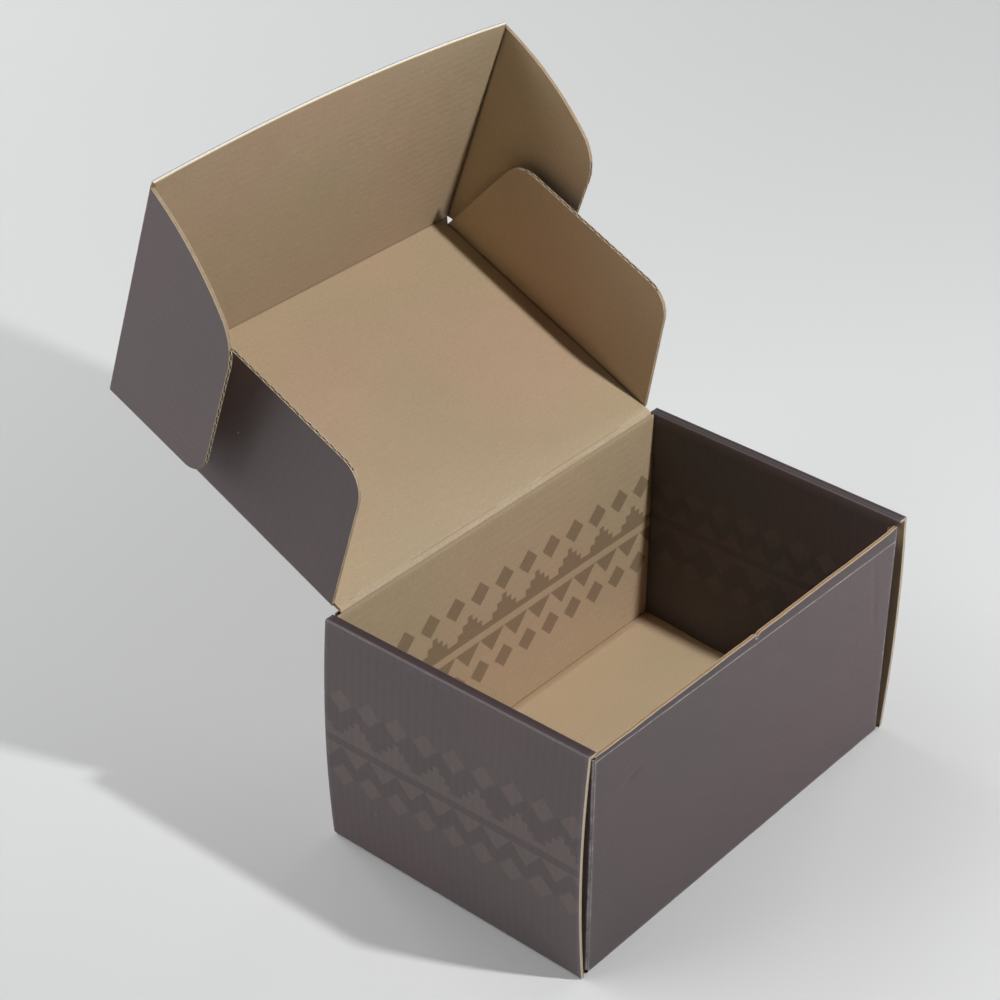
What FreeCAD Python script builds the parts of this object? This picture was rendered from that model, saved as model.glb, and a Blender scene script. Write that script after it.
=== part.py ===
import FreeCAD, Part
import math
import os

# A corrugated mailer box with its lid thrown back, folded from one sheet of fluted board.
# Millimetres, +Z up. The origin is the middle of the base's underside; +X runs along the
# lid's crease to the right, and the front wall faces -Y. The flutes run along X in the
# flat sheet, so they stand upright in the side walls and open at the lid flaps' free edges.

# The board
BOARD = 1.3             # thickness
LINER = 0.22            # each facing paper
MEDIUM = 0.2            # the fluted paper between them
FLUTE_PITCH = 3.4
FLUTE_START = 3.0       # a flute is crushed shut this far from the crease

# The tray
BASE_WIDTH = 169.4      # over the side walls' feet, along X
BASE_OFFSET = -0.8      # the box leans: its foot and its front wall sit off the middle
DEPTH = 105.8           # over the front and rear walls, along Y
WALL_HEIGHT = 88.8      # to the top of the rolled side walls
FRONT_DROP = 2.1        # the front wall is a single board, cut this much lower
RIM_SPREAD_FRONT = 1.1  # the box is this much wider over the side walls' top creases
RIM_SPREAD_REAR = 2.8   # and this much at the rear
BOW_LEFT = 3.1          # how far a side wall bows out at mid height
BOW_RIGHT = 2.3
FOLD_RADIUS = 0.6       # outer radius of the base's front and rear folds
PLY_GAP = 0.1           # between plies that lie on each other
RIM_RADIUS = 0.9        # outer radius of the side walls' top creases
SIDE_OVERHANG = 0.25    # the side walls' cut edges stand past the front and rear faces
FRONT_INSET = 2.9       # the front wall's corner folds lie this far in from the feet
FLAP_RUN = 8.0          # a front corner flap slants into its pocket over this length
CORNER_FLAP = 34.0      # length of a corner flap
INNER_SETBACK = 3.0     # the inner side panels stop this short of the front wall
REAR_SETBACK = 0.3      # and almost touch the rear wall
TAB_LENGTH = 40.0       # the tab that locks an inner side panel into the base
TAB_PLAY = 0.15
TAB_LAND = 0.5          # base left between a tab's slot and the side wall's fold
NICK_X = -0.3           # a small tear in the front wall's top edge
NICK_WIDTH = 3.0
NICK_DEPTH = 0.8

# The lid, in its own plane: u runs from the rear crease to the front one
CREASE_GAP = 0.15       # each panel stops this far from its crease line
HINGE_RISE = 0.2        # the rear crease line lies this far above the side walls' tops
HINGE_BEVEL = 25.0      # degrees crushed off each side of the rear crease
LID_ANGLE = 156.3       # degrees open from shut
LID_ALLOWANCE = 1.7     # the lid is this much deeper than the tray, to close over it
FLAP_PLAY = 0.95        # a side flap's crease lies this far inside the tray's inner side panel
FLAP_HEIGHT = 49.0
FLAP_START = 2.5        # from the rear crease to a side flap
FLAP_FRONT_GAP = 2.7    # from a side flap to the front crease
FLAP_REAR_SLANT = 10.0  # how far a side flap's rear end leans forward by its free edge
FLAP_FRONT_SLANT = 17.8
FLAP_RADIUS = 12.0
FLAP_ANGLE_LEFT = 96.5  # degrees folded from flat
FLAP_ANGLE_RIGHT = 94.0  # degrees

# The tuck panel: v runs from the lid's front crease to the free edge
TUCK_ANGLE = 84.8       # degrees folded from flat
TUCK_DROP = 0.6         # the tuck panel is this much lower than the side walls
TUCK_CROWN = 4.6        # how far the free edge bows out
EAR_SPREAD = 2.4        # an ear's crease lies this far outside a side flap's
EAR_WIDTH = 50.5
EAR_START = 0.5
EAR_SLANT = 3.9         # how far an ear's lower edge rises by its free edge
EAR_RADIUS = 10.0
EAR_SHOULDER = 52.0     # along v, where an ear's free edge starts to curve in
EAR_TIP_GAP = 1.4       # from an ear's upper end to the tuck panel's corner
EAR_TURN = (0.474, 0.869)   # where that curve turns sharper, in shares of its run and width
EAR_LONG = (0.27, 0.972)    # a point on the curve before the turn
EAR_SHORT = (0.8, 0.465)    # and one after it
EAR_ANGLE_LEFT = 82.0   # degrees folded from flat
EAR_ANGLE_RIGHT = 89.5  # degrees

SPARE = 2.0             # a cutting shape stands out of the board by this much

# Worked out from the sizes above
STACK = 3 * BOARD + 2 * PLY_GAP
RIM_WIDTH_FRONT = BASE_WIDTH + RIM_SPREAD_FRONT
RIM_WIDTH_REAR = BASE_WIDTH + RIM_SPREAD_REAR
FRONT_WIDTH = BASE_WIDTH - 2 * FRONT_INSET
FRONT_HEIGHT = WALL_HEIGHT - FRONT_DROP
HINGE_HEIGHT = WALL_HEIGHT + HINGE_RISE
LID_DEPTH = DEPTH + LID_ALLOWANCE
LID_FOLD_HALF = RIM_WIDTH_FRONT / 2 - STACK - FLAP_PLAY
FLAP_END = LID_DEPTH - FLAP_FRONT_GAP
TUCK_HEIGHT = WALL_HEIGHT - TUCK_DROP
TUCK_FOLD_HALF = LID_FOLD_HALF + EAR_SPREAD
EAR_TIP = TUCK_HEIGHT - EAR_TIP_GAP
FRONT_Y = -DEPTH / 2
REAR_Y = DEPTH / 2
TAN_BEVEL = math.tan(math.radians(HINGE_BEVEL))
QUARTER = 1 - math.sqrt(0.5)    # an arc's middle lies this share of its radius from the corner


def vec(x, y, z=0.0):
    return FreeCAD.Vector(x, y, z)


def arc(a, b, c):
    """An arc from a to c through b."""
    return Part.Arc(a, b, c).toShape()


def line(a, b):
    return Part.LineSegment(a, b).toShape()


def rounded(corners):
    """A closed flat outline. Each corner is (x, y, radius), and 0 leaves it sharp."""
    edges = []
    ends = []
    count = len(corners)
    for i, (x, y, r) in enumerate(corners):
        here = vec(x, y)
        to_prev = (vec(*corners[i - 1][:2]) - here).normalize()
        to_next = (vec(*corners[(i + 1) % count][:2]) - here).normalize()
        if r == 0:
            ends.append((here, None, here))
            continue
        half = to_prev.getAngle(to_next) / 2
        reach = r / math.tan(half)
        middle = (to_prev + to_next).normalize()
        top = here + middle * (r / math.sin(half) - r)
        ends.append((here + to_prev * reach, top, here + to_next * reach))
    for i, (first, top, last) in enumerate(ends):
        if top:
            edges.append(arc(first, top, last))
        edges.append(line(last, ends[(i + 1) % count][0]))
    return Part.Wire(edges)


def prism(wire, along):
    return Part.Face(wire).extrude(along)


def polygon(points):
    return Part.makePolygon(points + points[:1])


def box(x0, x1, y0, y1, z0, z1):
    return Part.makeBox(x1 - x0, y1 - y0, z1 - z0, vec(x0, y0, z0))


def set_in(shape, origin, e1, e2):
    """Stand a shape drawn in its own flat frame at origin, with its x and y along e1 and e2."""
    e3 = e1.cross(e2)
    turn = FreeCAD.Matrix(
        e1.x, e2.x, e3.x, origin.x,
        e1.y, e2.y, e3.y, origin.y,
        e1.z, e2.z, e3.z, origin.z,
        0, 0, 0, 1)
    moved = shape.copy()
    moved.Placement = FreeCAD.Placement(turn).multiply(shape.Placement)
    return moved


def rim_half(y):
    """Half the width over the side walls' top creases, which spread towards the rear."""
    share = (y - FRONT_Y) / DEPTH
    return (RIM_WIDTH_FRONT + share * (RIM_WIDTH_REAR - RIM_WIDTH_FRONT)) / 2


def cavity_half(y):
    return rim_half(y) - STACK


def pocket_mid(y):
    """The middle of the pocket between an outer and an inner side panel."""
    return cavity_half(y) + 1.5 * BOARD + PLY_GAP


def foot_half(side):
    return BASE_WIDTH / 2 + side * BASE_OFFSET


def inner_foot(side, y):
    """The inner side panel's face where it meets the base: upright, unless the foot is nearer."""
    return min(cavity_half(y), foot_half(side) - 2 * BOARD - TAB_LAND)


def trough():
    """The base with the front and rear walls, as one bent board. Corners outside are round."""
    z_front = FRONT_HEIGHT
    z_rear = HINGE_HEIGHT - CREASE_GAP
    inside = BOARD
    r = FOLD_RADIUS
    k = r * QUARTER
    y0, y1 = FRONT_Y, REAR_Y
    run = [
        line(vec(0, y0, z_front), vec(0, y0, r)),
        arc(vec(0, y0, r), vec(0, y0 + k, k), vec(0, y0 + r, 0)),
        line(vec(0, y0 + r, 0), vec(0, y1 - r, 0)),
        arc(vec(0, y1 - r, 0), vec(0, y1 - k, k), vec(0, y1, r)),
        line(vec(0, y1, r), vec(0, y1, z_rear)),
        line(vec(0, y1, z_rear), vec(0, y1 - BOARD, z_rear - BOARD * TAN_BEVEL)),
        line(vec(0, y1 - BOARD, z_rear - BOARD * TAN_BEVEL), vec(0, y1 - BOARD, inside)),
        line(vec(0, y1 - BOARD, inside), vec(0, y0 + BOARD, inside)),
        line(vec(0, y0 + BOARD, inside), vec(0, y0 + BOARD, z_front)),
        line(vec(0, y0 + BOARD, z_front), vec(0, y0, z_front)),
    ]
    foot = BASE_WIDTH / 2 - BOARD
    bent = prism(Part.Wire(run), vec(2 * foot, 0, 0))
    bent.translate(vec(BASE_OFFSET - foot, 0, 0))
    left = BASE_OFFSET - FRONT_WIDTH / 2
    right = BASE_OFFSET + FRONT_WIDTH / 2
    shoulder = WALL_HEIGHT - BOARD
    rear_half = cavity_half(REAR_Y) - PLY_GAP
    rear_edge = pocket_mid(REAR_Y) + BOARD / 2
    past = foot + SPARE
    high = HINGE_HEIGHT + SPARE
    spare = [
        box(-past, left, y0 - SPARE, y0 + BOARD, BOARD, high),
        box(right, past, y0 - SPARE, y0 + BOARD, BOARD, high),
    ]
    for side in (-1, 1):
        x0, x1 = sorted((side * rear_half, side * past))
        spare.append(box(x0, x1, y1 - BOARD, y1 + SPARE, shoulder, high))
        x0, x1 = sorted((side * rear_edge, side * past))
        spare.append(box(x0, x1, y1 - BOARD, y1 + SPARE, BOARD, high))
    nick = polygon([
        vec(NICK_X - NICK_WIDTH / 2, y0 - SPARE, z_front + SPARE),
        vec(NICK_X - NICK_WIDTH / 2, y0 - SPARE, z_front),
        vec(NICK_X, y0 - SPARE, z_front - NICK_DEPTH),
        vec(NICK_X + NICK_WIDTH / 2, y0 - SPARE, z_front - NICK_DEPTH / 3),
        vec(NICK_X + NICK_WIDTH / 2, y0 - SPARE, z_front + SPARE),
    ])
    spare.append(prism(nick, vec(0, BOARD + 2 * SPARE, 0)))
    return bent.cut(spare)


def side_section(side, y):
    """A double wall's outline where it is cut across at y, drawn on the left."""
    def at(x, z):
        return vec(-x, y, z)

    foot = foot_half(side)
    bulge = BASE_WIDTH / 2 + (BOW_LEFT if side < 0 else BOW_RIGHT)
    r = BOARD
    k = r * QUARTER
    top = WALL_HEIGHT
    rim = RIM_RADIUS
    m = rim * QUARTER
    outer = rim_half(y)
    inner = cavity_half(y)
    sole = inner_foot(side, y)
    low = BOARD + PLY_GAP
    mid = WALL_HEIGHT / 2
    return Part.Wire([
        line(at(foot - r, r), at(foot - r, 0)),
        arc(at(foot - r, 0), at(foot - k, k), at(foot, r)),
        arc(at(foot, r), at(bulge, mid), at(outer, top - rim)),
        arc(at(outer, top - rim), at(outer - m, top - m), at(outer - rim, top)),
        line(at(outer - rim, top), at(inner + rim, top)),
        arc(at(inner + rim, top), at(inner + m, top - m), at(inner, top - rim)),
        line(at(inner, top - rim), at(sole, low)),
        line(at(sole, low), at(sole + BOARD, low)),
        line(at(sole + BOARD, low), at(inner + BOARD, top - BOARD)),
        line(at(inner + BOARD, top - BOARD), at(outer - BOARD, top - BOARD)),
        arc(at(outer - BOARD, top - BOARD), at(bulge - BOARD, mid), at(foot - r, r)),
    ])


def side_wall(side):
    """An outer side panel, rolled over the rim and down inside to the base. It is made on
    the left, and the right one is its mirror image."""
    ends = [side_section(side, y) for y in (FRONT_Y - SIDE_OVERHANG, REAR_Y + SIDE_OVERHANG)]
    wall = Part.makeLoft(ends, True, True)
    first = FRONT_Y + BOARD + INNER_SETBACK
    last = REAR_Y - BOARD - REAR_SETBACK
    cuts = []
    for y0, y1 in ((FRONT_Y - SPARE, first), (last, REAR_Y + SPARE)):
        near = cavity_half((y0 + y1) / 2)
        cuts.append(box(-near - BOARD - PLY_GAP, SPARE - near, y0, y1, 0, WALL_HEIGHT - BOARD))
    sole = inner_foot(side, 0)
    tab = box(-sole - BOARD, -sole, -TAB_LENGTH / 2, TAB_LENGTH / 2, PLY_GAP, 2 * BOARD)
    wall = wall.cut(cuts).fuse(tab)
    return wall if side < 0 else wall.mirror(vec(0, 0, 0), vec(1, 0, 0))


def tab_slot(side):
    sole = inner_foot(side, 0)
    x0, x1 = sorted((side * (sole - TAB_PLAY), side * (sole + BOARD + TAB_PLAY)))
    half = TAB_LENGTH / 2 + TAB_PLAY
    return box(x0, x1, -half, half, -SPARE, BOARD + PLY_GAP / 2)


def corner_flap(side, fold_half, wall_y, inward):
    """A flap folded off the front or rear wall into the pocket between the side panels."""
    half = BOARD / 2
    start = side * (fold_half - half)
    pocket = side * pocket_mid(wall_y)
    first = wall_y + inward * half
    points = [vec(start, first), vec(pocket, first + inward * FLAP_RUN),
              vec(pocket, wall_y + inward * CORNER_FLAP)]
    if abs(pocket - start) < PLY_GAP:
        points = [vec(pocket, first), points[2]]
    runs = []
    low = BOARD + 2 * PLY_GAP
    high = WALL_HEIGHT - BOARD - 2 * PLY_GAP
    for a, b in zip(points, points[1:]):
        along = (b - a).normalize()
        across = vec(-along.y, along.x) * half
        ring = polygon([a + across, b + across, b - across, a - across])
        runs.append(prism(ring, vec(0, 0, high - low)))
    for a in points[:-1]:
        runs.append(Part.makeCylinder(half, high - low, a))
    flap = runs[0].fuse(runs[1:])
    flap.translate(vec(0, 0, low))
    return flap


def tray():
    body = trough().cut([tab_slot(-1), tab_slot(1)])
    pieces = [side_wall(-1), side_wall(1)]
    for side in (-1, 1):
        front_fold = FRONT_WIDTH / 2 + side * BASE_OFFSET
        rear_fold = pocket_mid(REAR_Y) + BOARD / 2
        pieces.append(corner_flap(side, front_fold, FRONT_Y, 1))
        pieces.append(corner_flap(side, rear_fold, REAR_Y, -1))
    return body.fuse(pieces)


def lid_frame():
    """The rear crease line's middle, and the lid's u and n directions."""
    a = math.radians(LID_ANGLE)
    u = vec(0, -math.cos(a), math.sin(a))
    return vec(0, REAR_Y, HINGE_HEIGHT), u, vec(1, 0, 0).cross(u)


def tuck_frame():
    """The front crease line's middle, and the tuck panel's v and w directions."""
    origin, u, n = lid_frame()
    a = math.radians(TUCK_ANGLE)
    v = u * math.cos(a) + n * math.sin(a)
    return origin + u * LID_DEPTH + n * BOARD, v, vec(1, 0, 0).cross(v)


def lid_panel():
    """A flat panel, wider at its front corners, crushed to a bevel along the rear crease."""
    narrow = LID_FOLD_HALF - CREASE_GAP
    wide = TUCK_FOLD_HALF - CREASE_GAP
    front = LID_DEPTH - CREASE_GAP
    bent = FLAP_END + CREASE_GAP
    right = [(narrow, CREASE_GAP, 0), (narrow, bent, 0), (wide, front - CREASE_GAP, 0), (wide, front, 0)]
    left = [(-x, u, r) for x, u, r in reversed(right)]
    panel = prism(rounded(right + left), vec(0, 0, BOARD))
    wedge = polygon([
        vec(-wide, CREASE_GAP, 0),
        vec(-wide, CREASE_GAP + BOARD * TAN_BEVEL, BOARD),
        vec(-wide, CREASE_GAP, BOARD),
    ])
    panel = panel.cut(prism(wedge, vec(2 * wide, 0, 0)))
    origin, u, n = lid_frame()
    return set_in(panel, origin, vec(1, 0, 0), u)


def tuck_panel():
    """The lid's front panel, with a bowed free edge."""
    half = TUCK_FOLD_HALF - CREASE_GAP
    corners = [vec(-half, TUCK_HEIGHT), vec(-half, CREASE_GAP), vec(half, CREASE_GAP), vec(half, TUCK_HEIGHT)]
    edges = [line(a, b) for a, b in zip(corners, corners[1:])]
    edges.append(arc(corners[3], vec(0, TUCK_HEIGHT + TUCK_CROWN), corners[0]))
    panel = prism(Part.Wire(edges), vec(0, 0, -BOARD))
    origin, v, w = tuck_frame()
    return set_in(panel, origin, vec(1, 0, 0), v)


def flutes(length, reach):
    """The open cells between the facings, side by side along x and running along y."""
    cells = []
    low = LINER
    high = BOARD - LINER
    width = FLUTE_PITCH - 2 * MEDIUM
    count = int(length / FLUTE_PITCH)
    for i in range(2 * count + 1):
        middle = i * FLUTE_PITCH / 2
        wide_at, tip_at = (low, high) if i % 2 else (high, low)
        cells.append(prism(polygon([
            vec(middle - width / 2, FLUTE_START, wide_at),
            vec(middle + width / 2, FLUTE_START, wide_at),
            vec(middle, FLUTE_START, tip_at),
        ]), vec(0, reach, 0)))
    return cells


def hung_flap(outline, side, fold_half, angle, frame, length, reach):
    """A fluted flap on a crease that runs along a panel's side edge."""
    plate = prism(outline, vec(0, 0, BOARD))
    plate = plate.cut(flutes(length, reach))
    if side < 0:
        plate.translate(vec(0, 0, -BOARD))
    origin, along, inward = frame
    a = math.radians(angle)
    out = vec(side * math.cos(a), 0, 0) + inward * math.sin(a)
    return set_in(plate, origin + vec(side * fold_half, 0, 0), along, out)


def lid_flap(side, angle):
    outline = rounded([
        (FLAP_START, CREASE_GAP, 0),
        (FLAP_END, CREASE_GAP, 0),
        (FLAP_END - FLAP_FRONT_SLANT, FLAP_HEIGHT, FLAP_RADIUS),
        (FLAP_START + FLAP_REAR_SLANT, FLAP_HEIGHT, FLAP_RADIUS),
    ])
    origin, u, n = lid_frame()
    frame = (origin + n * BOARD, u, n)
    return hung_flap(outline, side, LID_FOLD_HALF, angle, frame, LID_DEPTH, 2 * FLAP_HEIGHT)


def tuck_ear(side, angle):
    """A wing that tapers to nothing at the tuck panel's free edge, on a long curve."""
    w = EAR_WIDTH

    def on_curve(share):
        return vec(EAR_SHOULDER + share[0] * (EAR_TIP - EAR_SHOULDER), share[1] * w)

    turn = on_curve(EAR_TURN)
    lower = rounded([
        (EAR_START, CREASE_GAP, 0),
        (EAR_SHOULDER, CREASE_GAP, 0),
        (EAR_SHOULDER, w, 0),
        (EAR_START + EAR_SLANT, w, EAR_RADIUS),
    ])
    upper = Part.Wire([
        line(vec(EAR_SHOULDER, w), vec(EAR_SHOULDER, CREASE_GAP)),
        line(vec(EAR_SHOULDER, CREASE_GAP), vec(EAR_TIP, CREASE_GAP)),
        arc(vec(EAR_TIP, CREASE_GAP), on_curve(EAR_SHORT), turn),
        arc(turn, on_curve(EAR_LONG), vec(EAR_SHOULDER, w)),
    ])
    face = Part.Face(lower).fuse(Part.Face(upper)).removeSplitter().Faces[0]
    return hung_flap(face.OuterWire, side, TUCK_FOLD_HALF, angle, tuck_frame(), EAR_TIP, 2 * w)


PARTS = {
    "tray": tray,
    "lid_panel": lid_panel,
    "lid_flap_left": lambda: lid_flap(-1, FLAP_ANGLE_LEFT),
    "lid_flap_right": lambda: lid_flap(1, FLAP_ANGLE_RIGHT),
    "tuck_panel": tuck_panel,
    "tuck_ear_left": lambda: tuck_ear(-1, EAR_ANGLE_LEFT),
    "tuck_ear_right": lambda: tuck_ear(1, EAR_ANGLE_RIGHT),
}


def main():
    os.makedirs("parts", exist_ok=True)
    for name, make in PARTS.items():
        shape = make().removeSplitter()
        shape.exportStep("parts/" + name + ".step")
        b = shape.BoundBox
        print(name, "solids", len(shape.Solids), "valid", shape.isValid(), "volume %.0f" % shape.Volume,
              "box %.1f..%.1f %.1f..%.1f %.1f..%.1f" % (b.XMin, b.XMax, b.YMin, b.YMax, b.ZMin, b.ZMax))
    origin, u, n = lid_frame()
    front, v, w = tuck_frame()
    print("lid frame", origin, u, n)
    print("tuck frame", front, v, w)


main()
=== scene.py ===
import math

import bpy
import numpy as np
from mathutils import Matrix, Vector


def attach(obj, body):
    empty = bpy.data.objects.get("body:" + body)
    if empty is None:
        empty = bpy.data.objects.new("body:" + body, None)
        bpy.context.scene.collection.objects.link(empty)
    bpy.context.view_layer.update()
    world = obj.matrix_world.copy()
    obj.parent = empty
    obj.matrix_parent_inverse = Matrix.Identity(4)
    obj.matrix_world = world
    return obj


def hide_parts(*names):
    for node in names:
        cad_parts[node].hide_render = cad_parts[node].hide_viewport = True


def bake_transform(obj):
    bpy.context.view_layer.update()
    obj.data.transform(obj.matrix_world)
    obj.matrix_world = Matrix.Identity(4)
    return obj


# %% [markdown]
# A corrugated mailer box stands open on a pale table. The whole box is one sheet of fine
# fluted board, printed dark on one side and left bare on the other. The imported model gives
# the panels' places and how they turn; every panel is built again here as board: two thin
# facings, a wavy paper between them, rounded folds and cut edges.

# %% Load the frame
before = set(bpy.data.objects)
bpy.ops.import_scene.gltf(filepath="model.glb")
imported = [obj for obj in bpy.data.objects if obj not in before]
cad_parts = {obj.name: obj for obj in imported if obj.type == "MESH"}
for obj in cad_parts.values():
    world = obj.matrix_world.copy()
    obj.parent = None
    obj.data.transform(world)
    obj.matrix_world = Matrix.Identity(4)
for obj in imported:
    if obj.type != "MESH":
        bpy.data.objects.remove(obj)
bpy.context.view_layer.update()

# %% [markdown]
# The sizes are the same as the solids'. They are written in millimetres, because that is
# how board is specified, and turned into metres when a mesh is made.

# %% Sizes in millimetres
MM = 0.001
BOARD, LINER, MEDIUM, PITCH = 1.3, 0.22, 0.2, 3.4
FRONT_Y, REAR_Y = -52.9, 52.9
FOOT = {-1: 85.5, 1: 83.9}           # half widths over the side walls' feet
BULGE = {-1: 87.8, 1: 87.0}          # and where they bow out
WALL, FRONT_TOP, HINGE = 88.8, 86.7, 89.0
RIM_RADIUS = 0.9
FRONT_EDGE = {-1: -82.6, 1: 81.0}    # the front wall's corner folds
LID_HALF, TUCK_HALF = 80.2, 82.6
LID_DEPTH, TUCK_DEPTH, CROWN = 107.5, 88.2, 4.6
FOLD_ROOM = 0.6                      # the inner faces stop this short of the rear crease
HANDS = {-1: "left", 1: "right"}
POCKET = {-1: -83.2, 1: 82.6}        # where the front corner flaps lie in their pockets
CORNER_FLAP = 34                     # length of a corner flap
FRONT_SETBACK, REAR_SETBACK = 3.0, 0.3   # an inner side panel stops this short of the walls
TAB_HALF, TAB_PLAY, SLOT_HALF = 20, 0.15, 20.15
FLAP_START, FLAP_END, FLAP_HEIGHT, FLAP_RADIUS = 2.5, 104.8, 49, 12
EAR_START, EAR_END, EAR_WIDTH = 0.5, 86.8, 50.5
EAR_CORNER = {-1: 5.8, 1: 4.4}       # where an ear's slanted end reaches its free edge
FLAP_ANGLE = {-1: 96.5, 1: 94.0}     # degrees folded from flat
EAR_ANGLE = {-1: 82.0, 1: 89.5}


def rim_half(y):
    """Half the width over the side walls' top creases, which spread towards the rear."""
    return 85.25 + (y - FRONT_Y) / (REAR_Y - FRONT_Y) * 0.85


def inner_half(y):
    return rim_half(y) - 4.1


# %% [markdown]
# The real sheet has one print and one bare side, each the same all over. Under this scene's
# lamps some panels came out lighter or darker than in the photograph, so some panels have
# painted light and others painted shade: a factor that scales their colours, where 0 leaves
# the finish as it is and -0.2 paints it a fifth darker. They are fitted to one picture. With
# every factor at 0 the sheet is even, which is the better choice under other light.

# %% Painted light and shade on single panels
PAINTED_PANEL_LIGHT = {
    # Painted shade on the right inner panel, on the side walls' faces in the pocket and on the tuck panel's
    # inside; painted light on the base's inside and on the front wall, more towards its right end.
    "right inner panel": -0.42,
    "side walls in the pocket": -0.45,
    "base inside": 0.18,
    "front wall in the middle": 0.16,
    "front wall's change to each side": 0.12,
    "tuck panel inside": -0.20,
}

# %% [markdown]
# The lid leans back on the rear crease, and the tuck panel stands up from the lid's front
# crease. Each has a frame of its own: a point on the crease, a direction across the panel
# and one out of it. Every lid piece is written in its panel's frame, so it lies in plane.

# %% The lid's and the tuck panel's frames
X = np.array([1.0, 0, 0])
LID_ANGLE, TUCK_ANGLE = math.radians(156.3), math.radians(84.8)
HINGE_AT = np.array([0, REAR_Y, HINGE])
U = np.array([0, -math.cos(LID_ANGLE), math.sin(LID_ANGLE)])
N = np.cross(X, U)
V = U * math.cos(TUCK_ANGLE) + N * math.sin(TUCK_ANGLE)
W = np.cross(X, V)
TUCK_AT = HINGE_AT + U * LID_DEPTH + N * BOARD
print("lid direction", U.round(3), "tuck direction", V.round(3))

# %% [markdown]
# A panel is a grid of points for its outer face and one for its inner face. This class
# gathers such grids into one mesh. With each point it keeps where the point lies on the
# unfolded sheet (along and across the flutes), where it lies in the printed band, its wear
# value, and its painted light factor, which is the band's third value. A wear value above 0 is
# wear, along the side walls' creases also a painted highlight, and one below 0 is painted shade.
# The materials read those as attributes, so the print needs no picture.

# %% A builder for sheet pieces
OUTSIDE, INSIDE, EDGE, FLUTE = 0, 1, 2, 3
NO_BAND = (0.0, -60.0)


class Sheet:
    def __init__(self):
        self.points, self.faces, self.slots = [], [], []
        self.sheet, self.band, self.wear, self.painted_light_factor = [], [], [], []
        self.count = 0

    def grid(self, points, sheet, slot, outward, band=None, wear=0.0, painted_light_factor=0.0, keep=None):
        """Adds a grid of points, its faces turned to look along outward. A painted light factor above 0
        paints it lighter, one below 0 paints shade on it.
        """
        n, m = points.shape[:2]
        index = np.arange(n * m).reshape(n, m) + self.count
        quads = np.stack([index[:-1, :-1], index[1:, :-1], index[1:, 1:], index[:-1, 1:]], -1)
        cross = np.cross(points[1:, :-1] - points[:-1, :-1], points[:-1, 1:] - points[:-1, :-1])
        if np.sum(cross * np.broadcast_to(outward, points.shape)[:-1, :-1]) < 0:
            quads = quads[..., ::-1]
        if keep is not None:
            quads = quads[keep]
        quads = quads.reshape(-1, 4)
        self.points.append(points.reshape(-1, 3))
        self.faces.append(quads)
        self.slots.append(np.full(len(quads), slot))
        for store, value, width in ((self.sheet, sheet, 3), (self.band, band, 2),
                                    (self.wear, wear, 1), (self.painted_light_factor, painted_light_factor, 1)):
            value = np.array(NO_BAND if value is None else value, float)
            if value.ndim < 3 and width > 1:
                value = np.broadcast_to(value, (n, m, value.shape[-1]))
            if width == 3 and value.shape[-1] == 2:
                value = np.concatenate([value, np.zeros((n, m, 1))], -1)
            shape = (n, m) if width == 1 else (n, m, width)
            store.append(np.broadcast_to(value, shape).reshape(-1, width))
        self.count += n * m

    def rim(self, outer, inner, away, wear=0.0):
        """The cut edge between two boundary lines. The third sheet value runs across the board."""
        run = path_length(outer)
        across = np.linspace(0, 1, 2)
        points = outer[:, None] * (1 - across[:, None]) + inner[:, None] * across[:, None]
        sheet = spread(run[:, None], 0 * run[:, None], across[None])
        self.grid(points, sheet, EDGE, away[:, None], wear=wear)

    def plate(self, outer, inner, sheet, band=(None, None), wear=(0.0, 0.0), painted_light_factor=(0.0, 0.0), edges="abcd"):
        """A board panel: a face grid on each side, and the cut edges asked for."""
        out = outer - inner
        self.grid(outer, sheet, OUTSIDE, out, band[0], wear[0], painted_light_factor[0])
        self.grid(inner, sheet, INSIDE, -out, band[1], wear[1], painted_light_factor[1])
        for key in edges:
            far, close = (outer, inner) if key in "ab" else (outer.swapaxes(0, 1), inner.swapaxes(0, 1))
            end, next_in = (0, 1) if key in "ac" else (-1, -2)
            self.rim(far[end], close[end], far[end] - far[next_in])

    def make(self, name, body=None):
        mesh = bpy.data.meshes.new(name)
        points = np.concatenate(self.points) * MM
        faces = np.concatenate(self.faces)
        mesh.from_pydata(points.tolist(), [], faces.tolist())
        for label, store, kind in (("sheet", self.sheet, "FLOAT_VECTOR"), ("wear", self.wear, "FLOAT")):
            layer = mesh.attributes.new(label, kind, "POINT")
            layer.data.foreach_set("vector" if kind == "FLOAT_VECTOR" else "value",
                                   np.concatenate(store).astype(np.float32).ravel())
        # The band attribute's third value is the painted light factor: painted light and shade per panel.
        band = np.concatenate(self.band)
        layer = mesh.attributes.new("band", "FLOAT_VECTOR", "POINT")
        painted_light_factor = np.concatenate(self.painted_light_factor)
        layer.data.foreach_set("vector", np.column_stack([band, painted_light_factor]).astype(np.float32).ravel())
        mesh.polygons.foreach_set("material_index", np.concatenate(self.slots))
        mesh.polygons.foreach_set("use_smooth", np.ones(len(faces), bool))
        mesh.update()
        piece = bpy.data.objects.new(name, mesh)
        bpy.context.scene.collection.objects.link(piece)
        if body:
            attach(piece, body)
        BUILT.append(piece)
        print("%-22s %6d faces" % (name, len(faces)))
        return piece


BUILT = []


def smooth(a, b, x):
    """0 below a, 1 above b, and a soft step between."""
    t = np.clip((np.asarray(x, float) - a) / (b - a), 0, 1)
    return t * t * (3 - 2 * t)


def near(x, at, width):
    """1 at a line, falling to 0 at width from it."""
    return np.clip(1 - np.abs(np.asarray(x, float) - at) / width, 0, 1)


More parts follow.
